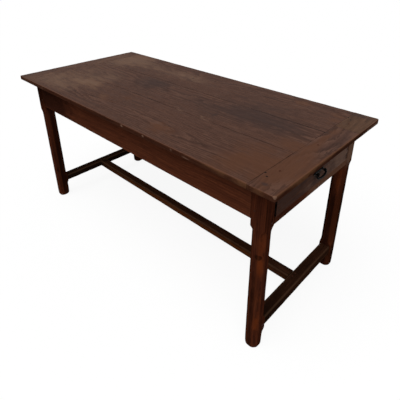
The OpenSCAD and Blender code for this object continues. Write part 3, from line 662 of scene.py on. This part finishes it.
for name, y0, y1, seed, pith in (
    ("front_board", -half_w, front_joint_y, 11, (-0.275, 0.70)),
    ("middle_board", front_joint_y, back_joint_y, 12, (0.03, 0.65)),
    ("back_board", back_joint_y, half_w, 13, (0.33, 0.66)),
):
    # Which of its corners are the top's own, from the lower front one round to the upper front one
    outer = np.array([y0 == -half_w, y1 == half_w, y1 == half_w, y0 == -half_w])
    radii = np.where(outer, (LOWER_R, LOWER_R, TOP_BEVEL, TOP_BEVEL), SHUT)
    worn_bar(name, "x", -joint_x, joint_x, rectangle((y0, under_z), (y1, top_z), radii), top_wood, "table",
             kinds=np.where(outer, 1, -1), end_r=(SHUT, SHUT), seed=seed, stain_and_light_clouds=TOP_CLOUDS, pith=pith,
             upright=edge_wood)


def end_board_outline(side):
    """A cross board's outline: its outer edge draws in along a quarter circle at the top's corners."""

    def outline(t):
        past = np.clip(np.abs(t) - (half_w - CORNER_R), 0, CORNER_R)
        outer = half_l - CORNER_R + np.sqrt(CORNER_R**2 - past**2)
        inner = np.full(len(t), joint_x)
        x0, x1 = (inner, outer) if side > 0 else (-outer, -inner)
        low, high = np.full(len(t), under_z), np.full(len(t), top_z)
        corners = np.array([(low, x0), (high, x0), (high, x1), (low, x1)]).transpose(2, 0, 1)
        radii = (SHUT, SHUT, TOP_BEVEL, LOWER_R) if side > 0 else (LOWER_R, TOP_BEVEL, SHUT, SHUT)
        return corners, np.broadcast_to(np.array(radii), (len(t), 4))

    return outline


corner_turn = np.linspace(0, math.pi / 2, 9)
near_corner = half_w - CORNER_R + CORNER_R * np.sin(corner_turn[:-1])
for name, side, y0, y1, material, pith, seed in (
    ("left_end_board", -1, -half_w, half_w, top_wood, (0.70, -0.78), 14),
    ("right_end_board", 1, -half_w, patch_y, top_wood, (0.60, 0.80), 15),
    ("right_end_patch", 1, patch_y, half_w, patch_wood, (0.69, 0.75), 16),
):
    at_corners = [s * y for s in (-1, 1) for y in near_corner if y0 < s * y < y1]
    outer = np.array([y0 == -half_w, y1 == half_w])
    kinds = (-1, -1, 1, 1) if side > 0 else (1, 1, -1, -1)
    worn_bar(name, "y", y0, y1, end_board_outline(side), material, "table", kinds=kinds,
             end_kinds=np.where(outer, 1, -1), end_r=np.where(outer, TOP_BEVEL, SHUT), seed=seed,
             step=5 * MM, extra=at_corners, stain_and_light_clouds=TOP_CLOUDS, pith=pith, upright=edge_wood)


# Legs

block_z = box_corners("lower_drawer_rail")[0][2]
drawer_z = box_corners("lower_drawer_rail")[1][2], box_corners("upper_drawer_rail")[0][2]
CHAMFER_DEPTH = LEG_CHAMFER / math.sqrt(2)
STOP_L = math.sqrt(STOP_R**2 - (STOP_R - CHAMFER_DEPTH) ** 2)
chamfer_top = block_z - STOP_L
# The chamfers run on below the floor, so that the feet are octagons too
CHAMFER_FOOT = -10 * MM
# What age took off the legs: from square arrises, then as a radius on the block, below it and at the feet
ARRIS = 1.4 * MM
BLOCK_SOFT = 1.2 * MM
LEG_SOFT = 3 * MM
FOOT_SOFT = 20 * MM
FOOT_REACH = 25 * MM
# Stations this far on either side of the rebate's ends make them sharp
HAIR = 0.02 * MM


def chamfer_width(z, runs):
    """How much a chamfer takes off a face at height z, in runs with a curved stop at each end.

    In a run, (start, end), the depth is full, and past its end it falls as a circle of radius STOP_R
    curves out."""
    depth = np.zeros_like(z)
    for z0, z1 in runs:
        past = np.clip(np.maximum(z0 - z, z - z1), 0, STOP_L)
        depth = np.maximum(depth, np.sqrt(STOP_R**2 - past**2) - (STOP_R - CHAMFER_DEPTH))
    return np.maximum(depth * math.sqrt(2), ARRIS)


def leg_outline(low, high, stretcher, rebate):
    """A leg's outline: eight corners, of which those next to the stretcher are square round it.

    stretcher and rebate are the lowest and the highest z of each. At the drawer end the corner beside the
    drawer is cut back by the rebate, so it has three corners. The corners' radius grows towards the foot as
    e to the power of minus the square of the height."""
    inner_side = 1 if low[1] < 0 else 0
    outer_runs = [(CHAMFER_FOOT, chamfer_top)]
    inner_runs = [
        (CHAMFER_FOOT, stretcher[0] - STOP_MARGIN - STOP_L),
        (stretcher[1] + STOP_MARGIN + STOP_L, chamfer_top),
    ]

    def outline(t):
        outer, inner = chamfer_width(t, outer_runs), chamfer_width(t, inner_runs)
        worn_foot = LEG_SOFT + (FOOT_SOFT - LEG_SOFT) * np.exp(-((t / FOOT_REACH) ** 2))
        radius = np.where(t > chamfer_top, BLOCK_SOFT, worn_foot)
        corners = []
        # Anticlockwise from the lowest corner: which way the two sides at each corner run
        for cx, cy in ((0, 0), (1, 0), (1, 1), (0, 1)):
            x, y = (low[0], high[0])[cx], (low[1], high[1])[cy]
            inside = cy == inner_side
            width = inner if inside else outer
            sx, sy = (1, -1)[cx], (1, -1)[cy]
            along_x = np.stack([x + sx * width, np.full(len(t), y)], -1)
            along_y = np.stack([np.full(len(t), x), y + sy * width], -1)
            pair = [along_y, along_x] if cx == cy else [along_x, along_y]
            if rebate and cx == 1 and inside:
                cut = ((t > rebate[0]) & (t < rebate[1]))[:, None]
                notch_y = y + sy * REBATE_W
                notch = [(x, notch_y), (x - REBATE_D, notch_y), (x - REBATE_D, y)]
                whole = [along_y, (along_x + along_y) / 2, along_x]
                three = [np.where(cut, np.array(n), w) for n, w in zip(notch, whole)]
                pair = three if cx == cy else three[::-1]
            corners += pair
        return np.stack(corners, 1), np.stack([radius] * len(corners), 1)

    return outline


# Clouds in the legs' colour, as in the top's but placed in three directions: stain, and some painted shade
# and sheen
LEG_CLOUDS = {
    "front_left_leg": [
        ((-690, -305, 420), (30, 30, 150), (0, 0, 0.8)),
        # A smaller knot
        ((-711, -318, 182), (6, 9, 10), (0, 1.5, 0)),
        # The block is darker: painted shade, as this end of the table is further from the light
        ((-733, -318, 670), (80, 80, 90), (0, 0.9, 0)),
        ((-706, -285, 280), (12, 40, 420), (0, 0.9, 0)),
    ],
    "front_right_leg": [
        ((750, -312, 520), (30, 30, 70), (0, 0, 0.6)),
        # A knot
        ((750, -318, 454), (11, 9, 7), (0, 2.5, 0)),
        ((752, -312, 415), (16, 16, 45), (0, 0, 0.6)),
        ((735, -318, 250), (16, 16, 260), (0, 0.6, 0)),
        ((748, -312, 120), (16, 16, 60), (0, 0, 0.5)),
        ((758, -308, 200), (14, 14, 240), (0, 0, 0.4)),
        ((740, -300, 20), (60, 60, 50), (0, 0.4, 0)),
    ],
    "back_left_leg": [
        # The whole leg is darker: painted shade, as it stands further from the light
        ((-733, 290, 100), (200, 200, 600), (0, 0.5, 0)),
    ],
    "back_right_leg": [
        # Greyer on the block's end face: a painted sheen, as on the drawer front
        ((762, 290, 660), (40, 90, 75), (1.3, -0.5, 0)),
        # Darker lower down and most at the foot: painted shade, as it stands further from the light
        ((735, 275, 300), (200, 200, 240), (0, 0.8, -0.1)),
        ((742, 262, 480), (14, 14, 90), (0, -0.5, 0.6)),
        ((765, 275, 400), (6, 40, 300), (0.3, 0.2, -0.5)),
        ((750, 290, 20), (90, 90, 60), (0, 1.1, 0)),
    ],
}

stop_steps = np.linspace(0, STOP_L, 9)
for seed, (name, clouds) in enumerate(LEG_CLOUDS.items(), start=21):
    low, high = box_corners(name)
    at_left = "left" in name
    stretcher_z = [corner[2] for corner in box_corners("left_stretcher" if at_left else "right_stretcher")]
    rebate = None if at_left else drawer_z
    outline = leg_outline(low, high, stretcher_z, rebate)
    extra = [
        *(chamfer_top + stop_steps),
        *(stretcher_z[1] + STOP_MARGIN + stop_steps),
        *(stretcher_z[0] - STOP_MARGIN - stop_steps),
        *(z + d for z in rebate or () for d in (-HAIR, HAIR)),
    ]
    corner_count = outline(np.zeros(1))[0].shape[1]
    foot_kind = 1 if "front" in name else -1
    worn_bar(name, "z", low[2], high[2], outline, leg_wood, "table", kinds=[1] * corner_count,
             end_kinds=(foot_kind, -1), end_r=(FOOT_R, SHUT), seed=seed, step=5 * MM, spacing=5 * MM,
             wear=0.4 * MM, sag=0.2 * MM, extra=extra, stain_and_light_clouds=clouds)


# Aprons and rails, between the shoulders of their tenons

APRON_CLOUDS = [
    # The front apron is darker towards its left end: painted shade, away from the light
    ((-660, -318), (280, 30), (-0.4, 0.9, 0.2)),
    ((330, -318, 600), (420, 20, 30), (0, 0, 0.35)),
    # Drawer-end rails: greyer to the far side, darker to the near: painted sheen and shade, as on the drawer
    # front
    ((762, 120, 590), (30, 260, 60), (1.0, 0, -0.5)),
    ((762, -220, 590), (30, 160, 60), (-0.4, 0.45, -0.4)),
]
APRON_ARRIS = 1.5 * MM
shoulder_x = box_corners("lower_drawer_rail")[0][0]
shoulder_y = -box_corners("front_right_leg")[1][1]
for name, along, arris_kind, seed in (
    ("front_apron", "x", 1, 31), ("back_apron", "x", 1, 32), ("left_end_apron", "y", 1, 33),
    ("lower_drawer_rail", "y", 0, 34), ("upper_drawer_rail", "y", 0, 35),
):
    low, high = box_corners(name)
    axes = list(ORDER[along][1:])
    reach = shoulder_x if along == "x" else shoulder_y
    shape = rectangle(low[axes], high[axes], [APRON_ARRIS] * 4)
    worn_bar(name, along, -reach, reach, shape, apron_wood, "table", kinds=[arris_kind] * 4,
             end_r=(SHUT, SHUT), seed=seed, stain_and_light_clouds=APRON_CLOUDS)


# Stretchers

STRETCHER_CLOUDS = [
    # End stretchers, the left one most, and the long one's top are darker: dirt and painted shade under the
    # table
    ((-734, 0), (60, 500), (0, 1.0, 0)),
    ((734, 0), (60, 500), (0, 0.4, 0)),
    ((734, -230), (60, 130), (0, 0.4, 0)),
    ((0, 0, 128), (690, 30, 7), (0, 0.35, 0)),
    ((0, -24, 104), (690, 9, 16), (0.25, -0.2, 1.3)),
]
STRETCHER_ARRIS = 1.2 * MM


def bevelled(along, low, high):
    """A stretcher's outline from its box's corners, with its two upper edges bevelled.

    Where it runs along Y its height is the outline's first axis, so its corners are turned over."""
    wide = 1 if along == "x" else 0
    left, right, bottom, top, b = low[wide], high[wide], low[2], high[2], STRETCHER_BEVEL
    corners = np.array([
        (left, bottom), (right, bottom), (right, top - b),
        (right - b, top), (left + b, top), (left, top - b),
    ])
    if along == "y":
        corners = corners[:, ::-1][::-1]

    def outline(t):
        return np.broadcast_to(corners, (len(t), 6, 2)), np.full((len(t), 6), STRETCHER_ARRIS)

    return outline


for name, along, reach, seed in (
    ("left_stretcher", "y", shoulder_y, 41), ("right_stretcher", "y", shoulder_y, 42),
    ("long_stretcher", "x", box_corners("right_stretcher")[0][0], 43),
):
    worn_bar(name, along, -reach, reach, bevelled(along, *box_corners(name)), stretcher_wood, "table",
             kinds=[1] * 6, end_r=(SHUT, SHUT), seed=seed, wear=0.6 * MM, stain_and_light_clouds=STRETCHER_CLOUDS)


# Drawer

SAME_POINT = 0.01 * MM
SAME_PLANE = math.radians(1)
END_FACES_ABOVE = 0.9


def softened(node, along, material, width, ends, painted_sheen=0.0):
    """A drawer solid's own shape with its sharp edges rounded by width, and the grain's coordinates on it.

    ends is the material of the end grain that shows: towards +X on a piece along X, and towards -Y on one
    along Y. painted_sheen says how far a painted sheen greys it at its far end, from none at its near end."""
    piece = new_object(node + "_softened", frame["nodes"][node].data.copy())
    shape = bmesh.new()
    shape.from_mesh(piece.data)
    bmesh.ops.remove_doubles(shape, verts=shape.verts, dist=SAME_POINT)
    bmesh.ops.dissolve_limit(shape, angle_limit=SAME_PLANE, verts=shape.verts, edges=shape.edges)
    shape.to_mesh(piece.data)
    shape.free()
    rounding = piece.modifiers.new("rounding", "BEVEL")
    rounding.width = width
    rounding.segments = 3
    rounding.limit_method = "ANGLE"
    rounding.harden_normals = True
    piece.data.materials.clear()
    piece.data.materials.append(material)
    side = -1 if along == "y" else 1
    second_material(piece, ends, ORDER[along][0], lambda towards: towards * side > END_FACES_ABOVE)
    place = np.zeros(len(piece.data.vertices) * 3, np.float32)
    piece.data.vertices.foreach_get("co", place)
    wood = place.reshape(-1, 3)[:, ORDER[along]]
    patina_and_painted_light = np.zeros_like(wood)
    # The faded colour rises towards the far end: a painted sheen
    patina_and_painted_light[:, 0] = painted_sheen * (wood[:, 0] - wood[:, 0].min()) / np.ptp(wood[:, 0])
    set_values(piece.data, {"wood": wood, "patina_and_painted_light": patina_and_painted_light})
    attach(piece, "drawer")
    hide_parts(node)


# The front's near end takes the end grain colour, which is also a painted shade of the gap beside the leg
softened("drawer_front", "y", drawer_wood, 0.7 * MM, end_grain_and_gap_shade, 0.75)
softened("drawer_near_side", "x", side_wood, 0.6 * MM, drawer_wood)
softened("drawer_far_side", "x", side_wood, 0.6 * MM, drawer_wood)
softened("drawer_back", "y", bare_wood["x"], 0.6 * MM, drawer_wood)


# Handle

BAIL_STEP = 1 * MM
# The bail's swell into its grip, what fire scale took off its radius, and its unevenness
SWELL_L = 8 * MM
SCALE_LOSS = 0.1 * MM
UNEVEN = 0.02
UNEVEN_L = 14 * MM
PIN_END = 0.8
EYE_SOFT = 1.4 * MM
SHANK_SOFT = 0.6 * MM
AXIS_GAP = 0.01 * MM
SHANK_GAP = 0.2 * MM
PLATE_BACK_R = 0.1 * MM
PLATE_FRONT_R = 0.9 * MM
TIP_SHARE = 0.06


def bail_path():
    """Half of the bail's middle line from the pin's inner end to the grip's middle, as (y, z) from its axis.

    The pin runs straight to an elbow of radius ELBOW_R, then a bend of radius BAIL_SIDE_R leads into the
    long bow of the grip, whose radius makes the two arcs tangent."""
    pin = POST_Y - POST_HEAD_L / 2
    drop = BAIL_DROP - ELBOW_R
    bow = (ARM_Y**2 + drop**2 - 2 * ARM_Y * BAIL_SIDE_R) / (2 * (drop - BAIL_SIDE_R))
    bow_end = math.atan2(ARM_Y - BAIL_SIDE_R, bow - drop)
    parts = [np.array([(pin, 0.0)])]
    for centre, radius, start, end in (
        ((ARM_Y - ELBOW_R, -ELBOW_R), ELBOW_R, math.pi, math.pi / 2),
        ((ARM_Y - BAIL_SIDE_R, -ELBOW_R), BAIL_SIDE_R, math.pi / 2, bow_end),
        ((0.0, bow - BAIL_DROP), bow, bow_end, 0.0),
    ):
        angle = np.linspace(start, end, max(4, int(abs(end - start) * radius / BAIL_STEP)) + 1)
        parts.append(np.stack([centre[0] + radius * np.sin(angle), centre[1] - radius * np.cos(angle)], -1))
    path = np.concatenate(parts)
    return path[np.append(True, np.linalg.norm(np.diff(path, axis=0), axis=1) > SAME_POINT)]


def round_bar(path, radius, across, sides=20):
    """Rings of a round bar along a flat path: the middle line plus radius times the cosine of the angle
    square to the path in its plane, and times its sine along across, the direction square to that plane."""
    heading = unit(np.gradient(path, axis=0))
    side = np.cross(np.broadcast_to(across, path.shape), heading)
    angle = (2 * math.pi * np.arange(sides) / sides)[None, :, None]
    return path[:, None] + (np.cos(angle) * side[:, None] + np.sin(angle) * across) * radius[:, None, None]


def lathe(profile, centre, axis, sides):
    """Points and faces of a closed profile of (along, radius) turned about X or Y through centre."""
    angle = 2 * math.pi * np.arange(sides) / sides
    along, radius = profile[:, 0, None], profile[:, 1, None]
    first, second = radius * np.cos(angle), radius * np.sin(angle)
    along = np.broadcast_to(along, first.shape)
    parts = (along, first, second) if axis == "x" else (second, along, first)
    points = np.stack(parts, -1) + centre
    return points.reshape(-1, 3), [ring_faces(len(profile), sides, round_trip=True)]


def handle_bail():
    """The bail: a round bar bent to a flat bow, which swells smoothly from its sides into its grip."""
    half = bail_path()
    path = np.concatenate([half * (-1, 1), half[-2::-1]])
    down = np.array([-math.sin(BAIL_TILT), 0, math.cos(BAIL_TILT)])
    across = np.array([math.cos(BAIL_TILT), 0, math.sin(BAIL_TILT)])
    centre_line = PIVOT + path[:, :1] * np.array([0, 1, 0]) + path[:, 1:] * down
    swell = np.clip((-path[:, 1] - ELBOW_R) / SWELL_L, 0, 1)
    radius = BAIL_D / 2 - SCALE_LOSS + (GRIP_D - BAIL_D) / 2 * swell**2 * (3 - 2 * swell)
    radius *= 1 - UNEVEN * (1 + waves(centre_line, UNEVEN_L, seed=71))
    radius[[0, -1]] *= PIN_END
    points, faces = closed_tube(round_bar(centre_line, radius, across))
    piece = mesh_object("handle_bail", points, faces, {}, iron)
    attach(piece, "bail")
    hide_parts("handle_bail")


def handle_posts():
    """Two posts, each a turned shank and an eye, bored for the bail's pin, with quarter-round rims."""
    back = box_corners("handle_posts")[0][0]
    half, rim, bore = POST_HEAD_L / 2, POST_HEAD_D / 2, PIN_HOLE_D / 2
    across = half - EYE_SOFT + EYE_SOFT * np.sin(QUARTER_TURN)
    out = rim - EYE_SOFT + EYE_SOFT * np.cos(QUARTER_TURN)
    left = np.stack([-across, out], -1)[::-1]
    eye = np.concatenate([[(half, bore), (-half, bore)], left, np.stack([across, out], -1)])
    length = PIVOT[0] - bore - back - SHANK_GAP
    shank = np.array([
        (0, AXIS_GAP), (0, POST_D / 2 - SHANK_SOFT), (SHANK_SOFT, POST_D / 2), (length, POST_D / 2),
        (length, AXIS_GAP),
    ])
    points, faces, first = [], [], 0
    for side in (-1, 1):
        post_y = PIVOT[1] + side * POST_Y
        for profile, centre, axis, sides in (
            (eye, (PIVOT[0], post_y, PIVOT[2]), "y", 40), (shank, (back, post_y, PIVOT[2]), "x", 24),
        ):
            shell_points, shell_faces = lathe(profile[::-1], centre, axis, sides)
            points.append(shell_points)
            faces += [part + first for part in shell_faces]
            first += len(shell_points)
    piece = mesh_object("handle_posts", np.concatenate(points), faces, {}, iron)
    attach(piece, "drawer")
    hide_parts("handle_posts")


def handle_plate():
    """The strap behind the posts: flat iron, narrowing evenly to two points over a third of its height."""
    low, high = box_corners("handle_plate")
    height = high[2] - low[2]

    def outline(t):
        share = (high[1] - PIVOT[1] - np.abs(t - PIVOT[1])) / (height / 3)
        reach = np.clip(share, TIP_SHARE, 1) * height / 2
        z0, z1 = PIVOT[2] - reach, PIVOT[2] + reach
        x0, x1 = np.full(len(t), low[0]), np.full(len(t), high[0])
        corners = np.array([(z0, x0), (z1, x0), (z1, x1), (z0, x1)]).transpose(2, 0, 1)
        back, front = np.full(len(t), PLATE_BACK_R), np.minimum(reach / 2, PLATE_FRONT_R)
        return corners, np.stack([back, back, front, front], 1)

    worn_bar("handle_plate", "y", low[1], high[1], outline, iron, "drawer", kinds=(0, 0, 0, 0),
             end_kinds=(0, 0), end_r=(0.3 * MM, 0.3 * MM), seed=72, step=1.5 * MM, spacing=2 * MM, wear=0,
             sag=0.12 * MM)


handle_bail()
handle_posts()
handle_plate()


# Solids that show as they are, with their material

for material, nodes in (
    (peg_wood, ("end_board_pegs", "leg_pegs", "stretcher_pegs")),
    (iron, ("top_nails", "handle_nuts")),
    (bare_wood["y"], ("cross_rail", "drawer_stops", "drawer_bottom")),
    (bare_wood["x"], [end + part for part in ("_runner", "_guide", "_kicker") for end in ("front", "back")]),
):
    for node in nodes:
        for slot in frame["nodes"][node].material_slots:
            slot.material = material


# Floor and light

# How bright the white surroundings look in gloss, as a dark room would show them
GLOSS_SHARE = 0.3
# How far the floor looks plain white to the camera, not shaded, and how light it is to all other rays
FLOOR_WHITE = 0.9
FLOOR_TONE = 0.4
FLOOR_REACH = 12.0
WORLD_LIGHT = 0.25
WINDOW_FROM = (0.05, -0.42, 0.90)
WINDOW_STRENGTH = 2.6
WINDOW_SPREAD = math.radians(60)
FILL_AT = (2.6, -1.7, 1.5)
FILL_TARGET = (0.5, 0, 0.4)
FILL_SIDE = 1.4
FILL_WATTS = 11


def seen_straight(tree):
    """One for a ray that comes from the camera, and GLOSS_SHARE for one by way of gloss or glass."""
    straight, gloss, glass = (
        add(tree, "LightPath", output=f"Is {ray} Ray") for ray in ("Camera", "Glossy", "Transmission"))
    reflected = add(tree, "Math", {0: gloss, 1: glass}, operation="MAXIMUM")
    reflected = add(tree, "Math", {0: reflected, 1: GLOSS_SHARE}, operation="MULTIPLY")
    return add(tree, "Math", {0: straight, 1: reflected}, operation="MAXIMUM")


def pale_floor():
    """A large pale floor. The camera sees it nearly as plain white, with a trace of the table's shadow."""
    mesh = bpy.data.meshes.new("floor")
    far = FLOOR_REACH
    mesh.from_pydata([(-far, -far, 0), (far, -far, 0), (far, far, 0), (-far, far, 0)], [], [(0, 1, 2, 3)])
    floor = new_object("floor", mesh)
    # Pale matt paint: white to the camera, and grey to the light that it throws back at the table
    material, tree, shader = new_material("floor_paint")
    tree.nodes.remove(shader)
    camera_ray = add(tree, "LightPath", output="Is Camera Ray")
    tone = add(tree, "MapRange", {0: camera_ray, 3: FLOOR_TONE, 4: 1.0}, interpolation_type="SMOOTHSTEP")
    diffuse = add(tree, "BsdfDiffuse", {"Color": tone})
    white = add(tree, "Emission", {"Color": (1, 1, 1, 1), "Strength": 1.0})
    share = add(tree, "Math", {0: seen_straight(tree), 1: FLOOR_WHITE}, operation="MULTIPLY")
    both = add(tree, "MixShader", {0: share, 1: diffuse, 2: white})
    tree.links.new(both, tree.nodes["Material Output"].inputs["Surface"])
    mesh.materials.append(material)


def white_world():
    """Even white light from all round. Seen straight on it is white."""
    world = bpy.data.worlds.new("world")
    bpy.context.scene.world = world
    world.use_nodes = True
    tree = world.node_tree
    sockets = {0: seen_straight(tree), 3: WORLD_LIGHT, 4: 1.0}
    strength = add(tree, "MapRange", sockets, interpolation_type="SMOOTHSTEP")
    background = tree.nodes["Background"]
    background.inputs["Color"].default_value = (1, 1, 1, 1)
    tree.links.new(strength, background.inputs["Strength"])


def window_light():
    """Wide, soft light from one side and above, the same all over the floor."""
    data = bpy.data.lights.new("key", "SUN")
    data.energy = WINDOW_STRENGTH
    data.angle = WINDOW_SPREAD
    turn = Vector(WINDOW_FROM).to_track_quat("Z", "Y").to_matrix().to_4x4()
    new_object("key", data).matrix_world = turn


def fill_light():
    """A square lamp beside the camera that faces the table's drawer end."""
    data = bpy.data.lights.new("fill", "AREA")
    data.size = FILL_SIDE
    data.energy = FILL_WATTS
    turn = (Vector(FILL_TARGET) - Vector(FILL_AT)).to_track_quat("-Z", "Y").to_matrix().to_4x4()
    new_object("fill", data).matrix_world = Matrix.Translation(FILL_AT) @ turn


photo_camera()
pale_floor()
white_world()
window_light()
fill_light()
bpy.context.scene.view_settings.view_transform = "Standard"
